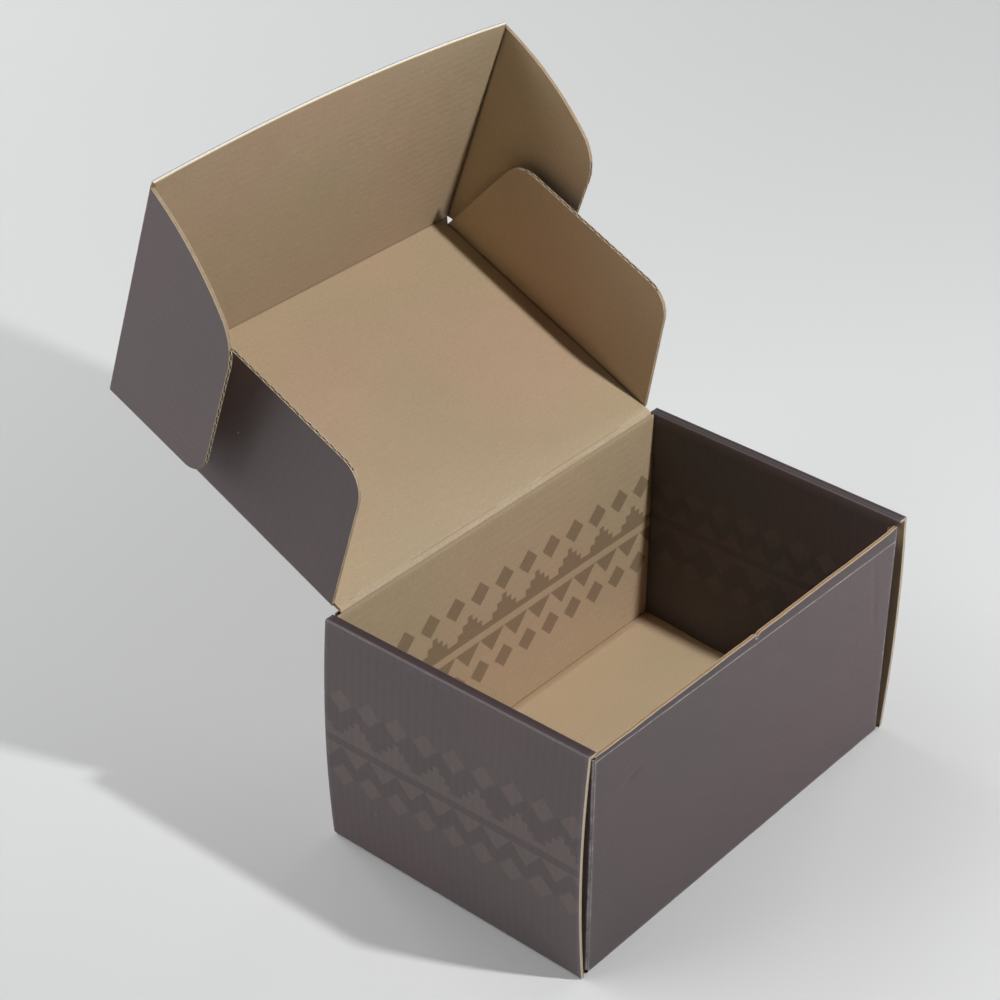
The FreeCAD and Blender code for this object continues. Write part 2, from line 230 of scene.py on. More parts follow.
def wander(x, size, length, seed=0.0):
    """A slow uneven line: three waves that don't repeat together."""
    x = np.asarray(x, float) / length
    waves = np.sin(2.1 * x + seed) + 0.6 * np.sin(4.7 * x + 2 * seed + 1) + 0.4 * np.sin(9.1 * x + seed)
    return size * waves / 2


def spread(*parts):
    """A grid of points from parts that stretch to fit each other."""
    return np.stack(np.broadcast_arrays(*parts), -1)


def path_length(points):
    return np.concatenate([[0], np.cumsum(np.linalg.norm(np.diff(points, axis=0), axis=1))])


def spaced(start, end, step):
    return np.linspace(start, end, max(2, int(round(abs(end - start) / step)) + 1))


# %% [markdown]
# A side wall is one strip of board: up from the base, over the rim in two creases, and down
# inside to the base again, where a tab locks it. Real ones bow out a little. The strip's
# outline is drawn at each place along the wall and its inner face lies one board inside.

# %% The outline of a double side wall
def wall_outline(side, y):
    """Points of the strip's outer face at y as (x, z), with the path length at each."""
    foot, rim, inside = FOOT[side], rim_half(y), inner_half(y)
    bulge = BULGE[side] + wander(y, 0.12, 60, side)
    points = []
    for a in np.linspace(math.pi / 2, 0, 7):
        points.append((foot - BOARD + BOARD * math.cos(a), BOARD - BOARD * math.sin(a)))
    top = WALL - RIM_RADIUS
    for z in np.linspace(BOARD, top, 30)[1:]:
        t = (z - BOARD) / (top - BOARD)
        chord = foot + (rim - foot) * t
        points.append((chord + (bulge - (foot + rim) / 2) * 4 * t * (1 - t), z))
    for a in np.linspace(0, math.pi / 2, 7)[1:]:
        points.append((rim - RIM_RADIUS + RIM_RADIUS * math.cos(a), top + RIM_RADIUS * math.sin(a)))
    for x in np.linspace(rim - RIM_RADIUS, inside + RIM_RADIUS, 7)[1:]:
        points.append((x, WALL - 0.12 * math.sin(math.pi * (rim - RIM_RADIUS - x) / 2.3)))
    for a in np.linspace(0, math.pi / 2, 7)[1:]:
        points.append((inside + RIM_RADIUS - RIM_RADIUS * math.sin(a), top + RIM_RADIUS * math.cos(a)))
    sole = inner_sole(side, y)
    for t in np.linspace(0, 1, 24)[1:]:
        x = inside + (sole - inside) * t ** 1.5
        points.append((x, top + (BOARD + 0.1 - top) * t))
    return np.array(points)


def inner_sole(side, y):
    """Where the inner panel's face meets the base. The right one is pushed in by its tab."""
    if side < 0:
        return min(inner_half(y), 82.4)
    return 80.1 + 1.9 * float(smooth(16, 46, abs(y - 3)))


print("wall outline points:", len(wall_outline(-1, 0.0)))


# %% Build both side walls
def inward(points):
    """Unit normals to the left of a flat path."""
    step = np.gradient(points, axis=0)
    normal = np.stack([-step[:, 1], step[:, 0]], -1)
    return normal / np.linalg.norm(normal, axis=1)[:, None]


FOLDS = {"foot": 3, "outer": 38, "inner": 50}     # rows of the outline where a crease lies


def side_wall(side, name):
    sheet = Sheet()
    ys = spaced(FRONT_Y - 0.25, REAR_Y + 0.25, 1.5)
    outlines = [wall_outline(side, y) for y in ys]
    rows = len(outlines[0])
    outer = np.zeros((rows, len(ys), 3))
    inner = np.zeros_like(outer)
    crush = np.ones(rows)
    for row in FOLDS.values():
        crush -= 0.34 * np.exp(-((np.arange(rows) - row) / 3.0) ** 2)
    runs = np.zeros((rows, len(ys)))
    for j, (y, line) in enumerate(zip(ys, outlines)):
        back = line + inward(line) * (BOARD * crush)[:, None]
        outer[:, j] = np.column_stack([side * line[:, 0], np.full(rows, y), line[:, 1]])
        inner[:, j] = np.column_stack([side * back[:, 0], np.full(rows, y), back[:, 1]])
        runs[:, j] = path_length(line)
    # the inner panel stops short of the front wall, and almost touches the rear one
    low, high = FRONT_Y + BOARD + FRONT_SETBACK, REAR_Y - BOARD - REAR_SETBACK
    share = (ys - ys[0]) / (ys[-1] - ys[0])
    first_in = FOLDS["inner"] + 4
    for grid in (outer, inner):
        grid[first_in:, :, 1] = low + (high - low) * share
    coordinates = np.stack([runs, outer[..., 1]], -1)
    y, z = outer[..., 1], outer[..., 2]
    if side < 0:
        band = np.stack([(y - 22.0) / 0.9417, 27 + (z + 0.0075 * y - 30.8) / 0.92], -1)
        band[first_in:] = NO_BAND
    else:
        band = np.stack([(y + 14.5) / 0.9008, 27 + (59.2 - z) / 0.9154], -1)
        band[:first_in] = NO_BAND
    line = np.arange(rows)[:, None] + 0 * runs
    # The lines along the outer and inner creases are partly wear and partly a painted highlight. The rim
    # strip between the creases gets negative wear: painted shade.
    worn_and_painted_light = np.maximum(0.55 * near(line, FOLDS["outer"] - 1, 2.4), 0.3 * near(line, FOLDS["inner"], 2.0))
    rim_painted_shade = (smooth(FOLDS["outer"] + 1, FOLDS["outer"] + 3, line)
             * (1 - smooth(FOLDS["inner"] - 2, FOLDS["inner"], line)))
    worn_and_painted_light = np.maximum(worn_and_painted_light, 0.7 * near(line, FOLDS["foot"], 2))
    edge_wear = np.maximum(near(y, ys[0], 0.7), near(y, ys[-1], 0.7))
    worn_and_painted_light = np.maximum(worn_and_painted_light, 0.5 * edge_wear * (line < first_in)) - rim_painted_shade
    # Painted shade: the right inner panel is darkened, and so are the outer panels' inner faces, which face
    # the pocket.
    right_inner_painted_shade = PAINTED_PANEL_LIGHT["right inner panel"] * (line >= first_in) if side > 0 else 0.0
    pocket_painted_shade = PAINTED_PANEL_LIGHT["side walls in the pocket"] * smooth(38, 30, line)
    sheet.plate(outer, inner, coordinates, (band, None), (worn_and_painted_light, 0.0), (right_inner_painted_shade, pocket_painted_shade),
                edges="b")
    for end, next_in in ((0, 1), (-1, -2)):
        sheet.rim(outer[:, end], inner[:, end], outer[:, end] - outer[:, next_in], wear=0.4)
    # the tab that goes down through the base
    at, away = side * inner_sole(side, 0), side * BOARD
    tab_y = spaced(-TAB_HALF, TAB_HALF, 5)
    top, bottom = BOARD + 0.4, 0.1
    grid = np.array([[[at, y, z] for y in tab_y] for z in (top, bottom)])
    sheet.plate(grid, grid + [away, 0, 0], grid[..., 1:], edges="bcd")
    return sheet.make(name, "tray")


for side, hand in HANDS.items():
    side_wall(side, "side_wall_" + hand)

# %% [markdown]
# The base, front wall and rear wall are one run of board, bent up twice. The base has two
# slots for the side walls' tabs, so its grid leaves those cells out and lines them with cut
# edge. The front wall carries small marks of handling: two shallow dents and a faint upright
# bend, pushed into the grid where the photograph shows them.

# %% The base with its slots
def base_panel():
    sheet = Sheet()
    slots = {side: sorted((side * (inner_sole(side, 0) - TAB_PLAY),
                           side * (inner_sole(side, 0) + BOARD + TAB_PLAY))) for side in (-1, 1)}
    left, right = BOARD - FOOT[-1], FOOT[1] - BOARD
    xs = np.unique(np.concatenate([spaced(left, right, 4), slots[-1], slots[1]]))
    ys = np.concatenate([spaced(FRONT_Y + 0.6, REAR_Y - 0.6, 4), [-SLOT_HALF, SLOT_HALF]])
    ys = np.unique(np.concatenate([ys, [-52.1, -51.75, -51.3, 51.3, 51.75, 52.1]]))
    gx, gy = np.meshgrid(xs, ys, indexing="ij")
    middle_x, middle_y = (xs[1:] + xs[:-1]) / 2, (ys[1:] + ys[:-1]) / 2
    keep = np.ones((len(xs) - 1, len(ys) - 1), bool)
    for low, high in slots.values():
        inside = (middle_x > low) & (middle_x < high)
        keep &= ~(inside[:, None] & (np.abs(middle_y) < SLOT_HALF)[None])
    up = np.array([0, 0, 1.0])
    for z, slot, way in ((0.0, OUTSIDE, -up), (BOARD, INSIDE, up)):
        groove = 0.7 * near(np.abs(gy), 51.75, 0.45) * (z > 0)
        points = np.stack([gx, gy, z - groove], -1)
        worn_and_painted_light = np.maximum(near(gy, ys[0], 1.5), near(gy, ys[-1], 1.5)) if z == 0 else 0.0
        # Painted light on the base's inside.
        sheet.grid(points, np.stack([gx, gy], -1), slot, way, wear=worn_and_painted_light,
                   painted_light_factor=PAINTED_PANEL_LIGHT["base inside"] * (z > 0), keep=keep)
    for low, high in slots.values():
        for a, b, way in (((low, -SLOT_HALF), (low, SLOT_HALF), X),
                          ((high, -SLOT_HALF), (high, SLOT_HALF), -X),
                          ((low, -SLOT_HALF), (high, -SLOT_HALF), [0, 1.0, 0]),
                          ((low, SLOT_HALF), (high, SLOT_HALF), [0, -1.0, 0])):
            edge = np.array([[*a, 0], [*b, 0]], float)
            sheet.rim(edge, edge + [0, 0, BOARD], np.array([way, way], float))
    return sheet.make("base_panel", "tray")


base = base_panel()


# %% The front wall, its corner folds and the flaps inside the pockets
def upright_run(top):
    """The rows of a wall as (how far in, height), starting round the base fold."""
    rows = [(0.6 - 0.6 * math.sin(a), 0.6 - 0.6 * math.cos(a)) for a in np.linspace(0, math.pi / 2, 6)]
    return rows + [(0.0, z) for z in spaced(0.6, top, 1.2)[1:]]


def crack_height(x):
    """Where the cracked line along the front wall's top runs; it slopes down to the right."""
    return 84.4 - (x + 77.8) / 158.5 * 3.6


def front_push(x, z):
    """How far the front wall's face is pushed in, for its dents, its bend and its upper strip."""
    def dent(cx, cz, depth, wide, tall, turn):
        dx, dz = x - cx, z - cz
        a = dx * math.cos(turn) + dz * math.sin(turn)
        b = -dx * math.sin(turn) + dz * math.cos(turn)
        return depth * np.exp(-(a / wide) ** 2 - (b / tall) ** 2)
    push = dent(-63.3, 67.8, 0.8, 3.6, 1.0, 0.3) - dent(-62.6, 69.6, 0.3, 3.2, 0.9, 0.3)
    push = push + dent(-27.8, 35.0, 0.25, 9.0, 0.7, -0.35)
    bend = 69.8 - (z - 64) * 0.12
    push = push + 0.18 * near(x, bend, 1.4) * smooth(48, 54, z) * (1 - smooth(76, 79, z))
    crack = crack_height(x)
    push = push - 0.07 * np.maximum(z - crack, 0) + 0.10 * near(z, crack, 0.8)
    bow = 0.12 * np.sin(math.pi * np.clip(z / 86, 0, 1)) * np.cos(math.pi * x / 190)
    return push - bow + wander(x + 1.7 * z, 0.05, 22, 2.0)


def front_wall():
    sheet = Sheet()
    left, right = FRONT_EDGE[-1] + 0.9, FRONT_EDGE[1] - 0.9
    xs = np.unique(np.concatenate([spaced(left, right, 1.2), [-1.9, -1.2, -0.7, -0.3, 0.2, 0.9, 1.4]]))
    rows = upright_run(FRONT_TOP)
    rows = [r for r in rows if r[1] < 80.2] + [(0.0, z) for z in spaced(80.4, 84.8, 0.12)]
    rows += [(0.0, z) for z in spaced(85.1, FRONT_TOP, 0.25)]
    inset = np.array([r[0] for r in rows])[:, None]
    z = np.array([r[1] for r in rows])[:, None]
    x = xs[None]
    nick = np.interp(x, [-1.9, -0.7, -0.2, 0.9, 1.4], [0, 0.3, 1, 0.35, 0])
    level = FRONT_TOP + wander(x, 0.14, 14, 3.0) - 0.75 * nick
    lift = z + (level - FRONT_TOP) * smooth(82, FRONT_TOP, z)
    push = (front_push(x, z) * smooth(1, 8, z) * smooth(left, left + 6, x)
            * (1 - smooth(right - 6, right, x)))
    y = FRONT_Y + inset + push
    outer = spread(x, y, lift)
    nudge = np.where(z < 0.6, 1.0, 0.0)
    inner_z = np.maximum(lift, BOARD * nudge + lift * (1 - nudge))
    inner = spread(x, FRONT_Y + BOARD + push, inner_z)
    sheet_at = spread(x, z + 52.9)
    crack = crack_height(x)
    # Pale wear along the cracked line; the strip above it gets negative wear: painted shade.
    worn_and_painted_light = 1.1 * near(z, crack, 0.42) - 0.3 * smooth(0.5, 1.2, z - crack)
    marks = np.maximum(0.8 * near(x, left, 1.0) + 0.8 * near(x, right, 1.0), 0.8 * near(z, FRONT_TOP, 0.4))
    marks = np.maximum(marks, 1.6 * near(x, -0.7, 1.0) * near(z, 85.5, 1.0))
    marks = np.maximum(marks, 0.6 * (z < 0.7) + 0 * x)
    worn_and_painted_light = np.where(marks > 0.05, np.maximum(worn_and_painted_light, marks), worn_and_painted_light)
    # Painted light on the front wall, lighter towards its right end.
    front_painted_light = PAINTED_PANEL_LIGHT["front wall in the middle"] + PAINTED_PANEL_LIGHT["front wall's change to each side"] * x / 80 + 0 * z
    sheet.plate(outer, inner, sheet_at, wear=(worn_and_painted_light, 0.0), painted_light_factor=(front_painted_light, 0.0), edges="b")
    return sheet.make("front_wall", "tray")


def corner_piece(name, fold_x, side, wall_y, into, pocket_x, slant, radius, top):
    """A wall's corner fold and the flap that it carries into the pocket between the side panels."""
    sheet = Sheet()
    plan = []
    for a in np.linspace(0, math.pi / 2, 8):
        plan.append((fold_x - side * radius * (1 - math.sin(a)), wall_y + into * radius * (1 - math.cos(a))))
    outer_pocket = pocket_x + side * BOARD / 2
    for t in np.linspace(0, 1, 8)[1:]:
        soft = t * t * (3 - 2 * t)
        plan.append((fold_x + (outer_pocket - fold_x) * soft, wall_y + into * (radius + slant * t)))
    for t in np.linspace(0, 1, 10)[1:]:
        plan.append((outer_pocket, wall_y + into * (radius + slant + (CORNER_FLAP - slant - radius) * t)))
    plan = np.array(plan)
    normal = inward(plan)
    if np.sum(normal[0] * [0, into]) < 0:
        normal = -normal
    crush = 1 - 0.3 * np.exp(-((np.arange(len(plan)) - 4) / 4.0) ** 2)
    back = plan + normal * (BOARD * crush)[:, None]
    run = path_length(plan)
    tops = top - 9.0 * smooth(1.2, 4.0, run)
    share = np.linspace(0, 1, 36)[:, None]
    heights = 1.6 + (tops[None] - 1.6) * share
    outer = spread(plan[None, :, 0], plan[None, :, 1], heights)
    inner = spread(back[None, :, 0], back[None, :, 1], heights)
    coordinates = spread(fold_x + side * run[None], heights + 52.9)
    worn_and_painted_light = 0.95 * near(run[None], 0.8, 1.0) + 0 * heights
    sheet.plate(outer, inner, coordinates, wear=(worn_and_painted_light, 0.0), edges="abd")
    return sheet.make(name, "tray")


front_wall()
for side, hand in HANDS.items():
    corner_piece("corner_flap_front_" + hand, FRONT_EDGE[side], side, FRONT_Y, 1, POCKET[side], 8, 0.9, 85.6)


# %% The rear wall and its corner folds
def rear_wall():
    sheet = Sheet()
    half = 83.8
    upper = inner_half(REAR_Y) - 0.15
    rows = upright_run(HINGE)
    rows = sorted(rows + [(0.0, z) for z in (1.0, 1.3, 1.6)], key=lambda r: r[1])
    inset = np.array([r[0] for r in rows])[:, None]
    z = np.array([r[1] for r in rows])[:, None]
    share = np.linspace(-1, 1, 120)[None]
    width = np.where(z > WALL - BOARD, upper, half)
    x = width * share
    bow = 0.15 * np.sin(math.pi * z / HINGE) * np.cos(math.pi * x / 180) + wander(x + z, 0.05, 25, 1.0)
    bow = bow * smooth(1, 8, z) * (1 - smooth(HINGE - 8, HINGE, z)) * (1 - smooth(half - 6, half, np.abs(x)))
    outer = spread(x, REAR_Y - inset + bow, z)
    groove = 0.3 * near(z, HINGE, 1.2)
    inner_z = np.where(z < 0.6, 0.8, np.minimum(z, HINGE - FOLD_ROOM))
    inner = spread(x, REAR_Y - BOARD + groove + bow, inner_z)
    coordinates = spread(x, z + 160)
    band = spread(x, z)
    worn_and_painted_light = np.maximum(0.6 * (z < 0.7), 0.9 * near(z, HINGE, 0.8)) + 0 * x
    # Inner face: a pale worn band along the hinge crease, and painted shade along the crease at the base.
    inner_wear_and_crease_shade = 0.7 * near(z, HINGE, 0.9) - 0.6 * near(z, BOARD, 0.4) + 0 * x
    sheet.plate(outer, inner, coordinates, band=(None, band), wear=(worn_and_painted_light, inner_wear_and_crease_shade), edges="")
    return sheet.make("rear_wall", "tray")


rear_wall()
for side, hand in HANDS.items():
    corner_piece("corner_flap_rear_" + hand, side * 84.7, side, REAR_Y, -1, side * 84.05, 1, 0.9, 87.2)

# %% [markdown]
# A cut edge shows the board's make-up. Along the flutes it shows three lines; across them
# it shows the wave. So the panels whose edges are cut across the flutes get a real waved
# paper between two real facings. The wave runs across the flutes, and each of its points
# reaches as far along the flute as the panel's outline allows.

# %% The wave between the facings
def wave(sheet, place, along, low, high):
    """The fluted paper: a thin waved sheet from low to high along the flutes."""
    swing = (BOARD - 2 * LINER - MEDIUM) / 2
    turn = 2 * math.pi * along / PITCH
    middle = BOARD / 2 + swing * np.sin(turn)
    slope = swing * 2 * math.pi / PITCH * np.cos(turn)
    length = np.sqrt(1 + slope ** 2)
    share = np.linspace(0, 1, 3)
    h = low[:, None] + (high - low)[:, None] * share[None]
    faces = []
    for side in (1, -1):
        t = (middle + side * MEDIUM / 2 / length)[:, None] + 0 * h
        s = (along - side * MEDIUM / 2 * slope / length)[:, None] + 0 * h
        faces.append(place(s, h, t))
    out = faces[0] - faces[1]
    coordinates = np.stack([h, along[:, None] + 0 * h], -1)
    sheet.grid(faces[0], coordinates, FLUTE, out)
    sheet.grid(faces[1], coordinates, FLUTE, -out)
    for end in (0, -1):
        reach = (h[:, end, None] + (0.0 if end == 0 else 0.04)) + np.zeros((1, 2))
        tip = place(along[:, None] + 0 * reach, reach, middle[:, None] + np.array([[0.19, -0.19]]))
        cut = np.concatenate([coordinates[:, :2], 0 * coordinates[:, :2, :1] + 0.95], -1)
        sheet.grid(tip, cut, EDGE, faces[0][:, end, None] - faces[0][:, 1, None])


# %% [markdown]
# The lid's side flaps and the tuck panel's ears hang on side creases and stand up with
# rounded corners. Their outlines are turned into a reach: how far the board goes out from
# the crease at each place along it.

# %% Rounded outlines as a reach from the crease
def rounded(corners):
    """A dense line through corners (s, h, radius)."""
    line = []
    for i, (s, h, r) in enumerate(corners):
        here = np.array([s, h])
        if r == 0:
            line.append(here)
            continue
        a = np.array(corners[i - 1][:2]) - here
        b = np.array(corners[i + 1][:2]) - here
        a, b = a / np.linalg.norm(a), b / np.linalg.norm(b)
        half = math.acos(float(a @ b)) / 2
        reach = r / math.tan(half)
        middle = (a + b) / np.linalg.norm(a + b)
        centre = here + middle * r / math.sin(half)
        p, q = here + a * reach - centre, here + b * reach - centre
        sweep = math.acos(float(np.clip(p @ q / r ** 2, -1, 1)))
        for t in np.linspace(0, 1, 24):
            line.append(centre + (p * math.sin((1 - t) * sweep) + q * math.sin(t * sweep)) / math.sin(sweep))
    return np.array(line)


def through(a, b, c, count=24):
    """Points on the circle arc from a to c through b."""
    (ax, ay), (bx, by), (cx, cy) = a, b, c
    d = 2 * (ax * (by - cy) + bx * (cy - ay) + cx * (ay - by))
    aa, bb, cc = ax ** 2 + ay ** 2, bx ** 2 + by ** 2, cx ** 2 + cy ** 2
    ux = (aa * (by - cy) + bb * (cy - ay) + cc * (ay - by)) / d
    uy = (aa * (cx - bx) + bb * (ax - cx) + cc * (bx - ax)) / d
    centre = np.array([ux, uy])
    p, q = np.array(a) - centre, np.array(c) - centre
    r = np.linalg.norm(p)
    sweep = math.acos(float(np.clip(p @ q / r ** 2, -1, 1)))
    t = np.linspace(0, 1, count)[:, None]
    return centre + (p * np.sin((1 - t) * sweep) + q * np.sin(t * sweep)) / math.sin(sweep)


FLAP_LINE = rounded([(FLAP_START, 0, 0), (12.5, FLAP_HEIGHT, FLAP_RADIUS),
                     (87.0, FLAP_HEIGHT, FLAP_RADIUS), (FLAP_END, 0, 0)])
SHOULDER = 52.0
EAR_RUN = 34.8


def on_ear(a, b):
    return (SHOULDER + a * EAR_RUN, b * EAR_WIDTH)


def ear_line(corner):
    return np.concatenate([
        rounded([(EAR_START, 0, 0), (corner, EAR_WIDTH, 10), (SHOULDER, EAR_WIDTH, 0)]),
        through(on_ear(0, 1), on_ear(0.27, 0.972), on_ear(0.474, 0.869))[1:],
        through(on_ear(0.474, 0.869), on_ear(0.8, 0.465), on_ear(1, 0))[1:],
    ])


print("flap outline", FLAP_LINE.shape, "ear outline", ear_line(EAR_CORNER[1]).shape)


# %% Build the four flaps
def hung_flap(name, body, line, origin, along_dir, inward_dir, side, angle, fold_half):
    """A fluted flap on a crease along a panel's side edge."""
    a = math.radians(angle)
    out_dir = side * math.cos(a) * X + inward_dir * math.sin(a)
    thick_dir = side * np.cross(along_dir, out_dir)
    at = origin + side * fold_half * X

    def place(s, h, t):
        return (at + np.multiply.outer(s, along_dir) + np.multiply.outer(h, out_dir)
                + np.multiply.outer(t, thick_dir))

    sheet = Sheet()
    s = spaced(line[0, 0], line[-1, 0], PITCH / 14)
    reach = np.maximum(np.interp(s, line[:, 0], line[:, 1]), 0.2)
    rows = np.unique(np.concatenate([np.linspace(0, 1, 12), [0.004, 0.02, 0.965, 0.98, 0.992]]))
    h = 0.15 + (reach[:, None] - 0.15) * rows[None]
    grid_s = s[:, None] + 0 * h
    depth = {"outer": (BOARD, BOARD - LINER), "inner": (LINER, 0.0)}
    coordinates = np.stack([h, grid_s], -1)
    from_edge = reach[:, None] - h
    slot_pairs = {"outer": (OUTSIDE, FLUTE), "inner": (FLUTE, INSIDE)}
    for key, (t1, t0) in depth.items():
        far, close = place(grid_s, h, 0 * h + t1), place(grid_s, h, 0 * h + t0)
        out = far - close
        worn_and_painted_light = np.maximum(0.45 * near(from_edge, 0, 0.4), 0.5 * near(h, 0, 0.5))
        sheet.grid(far, coordinates, slot_pairs[key][0], out, wear=worn_and_painted_light if key == "outer" else 0.0)
        # Inner face: pale wear near the free edge and painted shade along the crease.
        edge_wear_and_crease_shade = 0.3 * near(from_edge, 0, 0.45) - 0.9 * near(h, 0, 1.0)
        sheet.grid(close, coordinates, slot_pairs[key][1], -out, wear=0.0 if key == "outer" else edge_wear_and_crease_shade)
        tip = np.stack([far[:, -1], close[:, -1]], 1)
        run = np.stack([s, 0 * s, 0 * s + 0.05], -1)[:, None] + 0 * tip
        sheet.grid(tip, run, EDGE, (far[:, -1] - far[:, -2])[:, None])
    wave(sheet, place, s, np.maximum(reach - 14, 0.15), reach - 0.05)
    # where the cut runs nearly along the flutes, the wave is crushed shut
    along_cut = np.abs(np.gradient(reach, s)) > 0.45
    depths = np.array([LINER, BOARD - LINER])
    grid_t = depths[None] + 0 * s[:, None]
    shut = place(s[:, None] + 0 * grid_t, np.maximum(reach - 0.1, 0.15)[:, None] + 0 * grid_t, grid_t)
    cut = spread(s[:, None], 0.0, 0.95 + 0 * grid_t)
    sheet.grid(shut, cut, EDGE, out_dir, keep=along_cut[:-1, None])
    return sheet.make(name, body)


flaps = [hung_flap("lid_flap_%s_board" % hand, "lid_flap_" + hand, FLAP_LINE, HINGE_AT + N * BOARD,
                   U, N, side, FLAP_ANGLE[side], LID_HALF) for side, hand in HANDS.items()]
flaps += [hung_flap("ear_%s_board" % hand, "tuck_ear_" + hand, ear_line(EAR_CORNER[side]), TUCK_AT,
                    V, W, side, EAR_ANGLE[side], TUCK_HALF) for side, hand in HANDS.items()]

# %% [markdown]
# The lid is a flat panel that widens at its front corners. The tuck panel's free edge bows.
# Its cut runs almost along the flutes, so it shows bare paper and no wave. Its rim is marked
# as fully worn, which the cut edge's finish draws as pale bare paper.

# %% Build the lid panel
def lid_place(x, u, n):
    return HINGE_AT + np.multiply.outer(x, X) + np.multiply.outer(u, U) + np.multiply.outer(n, N)


def lid_panel():
    sheet = Sheet()
    u = np.unique(np.concatenate([[0, 0.5, 1.0, 1.6, 2.4, FLAP_START, FLAP_END], spaced(3, 104.7, 2.5),
                                  spaced(FLAP_END, LID_DEPTH, 0.45)]))
    half = np.interp(u, [0, FLAP_END, 107.35, LID_DEPTH], [LID_HALF, LID_HALF, TUCK_HALF, TUCK_HALF])
    share = np.concatenate([[-1, -0.996, -0.992, -0.985], np.linspace(-0.97, 0.97, 90),
                            [0.985, 0.992, 0.996, 1]])
    x = half[:, None] * share[None]
    uu = u[:, None] + 0 * x
    sag = 0.35 * np.sin(math.pi * uu / LID_DEPTH) * np.cos(math.pi * x / 170)
    sag = sag + wander(x + 1.3 * uu, 0.05, 24, 4.0)
    sag = (sag * smooth(0, 8, uu) * (1 - smooth(LID_DEPTH - 8, LID_DEPTH, uu))
           * (1 - smooth(LID_HALF - 8, LID_HALF, np.abs(x))))
    outer, inner = lid_place(x, uu, -sag), lid_place(x, np.maximum(uu, FOLD_ROOM), BOARD - sag)
    worn_and_painted_light = np.maximum(near(uu, 0, 1.2), near(uu, LID_DEPTH, 1.0))
    worn_and_painted_light = np.maximum(worn_and_painted_light, 0.7 * near(np.abs(x), LID_HALF, 0.8))
    hinge_line = 1.7 + wander(x, 0.35, 18, 5.0)
    # Inner face: pale worn bands along the hinge and near the front crease; painted shade along the front
    # crease and along the side creases where the flaps fold.
    inner_wear_and_crease_shade = (0.9 * near(uu, 0.4, hinge_line) + 0.35 * near(uu, LID_DEPTH - 1.2, 0.7)
             - 0.5 * near(uu, LID_DEPTH, 0.5))
    inner_wear_and_crease_shade = inner_wear_and_crease_shade - 0.9 * near(np.abs(x), LID_HALF, 0.5) * smooth(1.5, 4, uu)
    sheet.plate(outer, inner, np.stack([x, 250 + uu], -1), wear=(worn_and_painted_light, inner_wear_and_crease_shade), edges="cd")
    return sheet.make("lid_board", "lid_panel")


lid = lid_panel()


# %% Build the tuck panel
def tuck_place(x, v, t):
    """t is measured from the inner face outwards."""
    return TUCK_AT + np.multiply.outer(x, X) + np.multiply.outer(v, V) - np.multiply.outer(t, W)


def tuck_panel():
    sheet = Sheet()
    rise = TUCK_HALF ** 2 / (2 * CROWN) + CROWN / 2
    x = np.linspace(-TUCK_HALF, TUCK_HALF, 150)
    top = TUCK_DEPTH + np.sqrt(rise ** 2 - x ** 2) - (rise - CROWN)
    rows = np.unique(np.concatenate([np.linspace(0, 1, 40), [0.006, 0.012, 0.99, 0.9945, 0.9975]]))
    v = top[:, None] * rows[None]
    xx = x[:, None] + 0 * v
    sag = 0.4 * np.sin(math.pi * rows)[None] * np.cos(math.pi * x / 175)[:, None]
    sag = sag + wander(xx + v, 0.05, 27, 6.0)
    sag = (sag * smooth(0, 8, v) * (1 - smooth(top[:, None] - 6, top[:, None], v))
           * (1 - smooth(TUCK_HALF - 8, TUCK_HALF, np.abs(xx))))
    coordinates = np.stack([xx, 370 + v], -1)
    from_edge = top[:, None] - v
    side_fold = near(np.abs(xx), TUCK_HALF, 0.8)
    worn_and_painted_light = np.maximum(near(from_edge, 0, 0.6), np.maximum(near(v, 0, 1.0), 0.7 * side_fold))
    # Inner face: pale wear along the free edge; painted shade along the crease at the lid and along the
    # ears' creases.
    inner_wear_and_crease_shade = 0.4 * near(from_edge, 0, 0.4) - 0.5 * near(v, 0, 0.6) - 0.9 * side_fold
    outer, inner = tuck_place(xx, v, BOARD + sag), tuck_place(xx, v, sag)
    # Painted shade on the tuck panel's inside.
    sheet.plate(outer, inner, coordinates, wear=(worn_and_painted_light, inner_wear_and_crease_shade), painted_light_factor=(0.0, PAINTED_PANEL_LIGHT["tuck panel inside"]),
                edges="ab")
    sheet.rim(outer[:, -1], inner[:, -1], outer[:, -1] - outer[:, -2], wear=1.0)
    return sheet.make("tuck_board", "tuck_panel")


tuck = tuck_panel()

# %% [markdown]
# At a crease the paper goes on unbroken. The hinge solids stop just short of the crease
# line, so a narrow quarter of board bridges each one. It stays where it is built and is
# attached to no body.

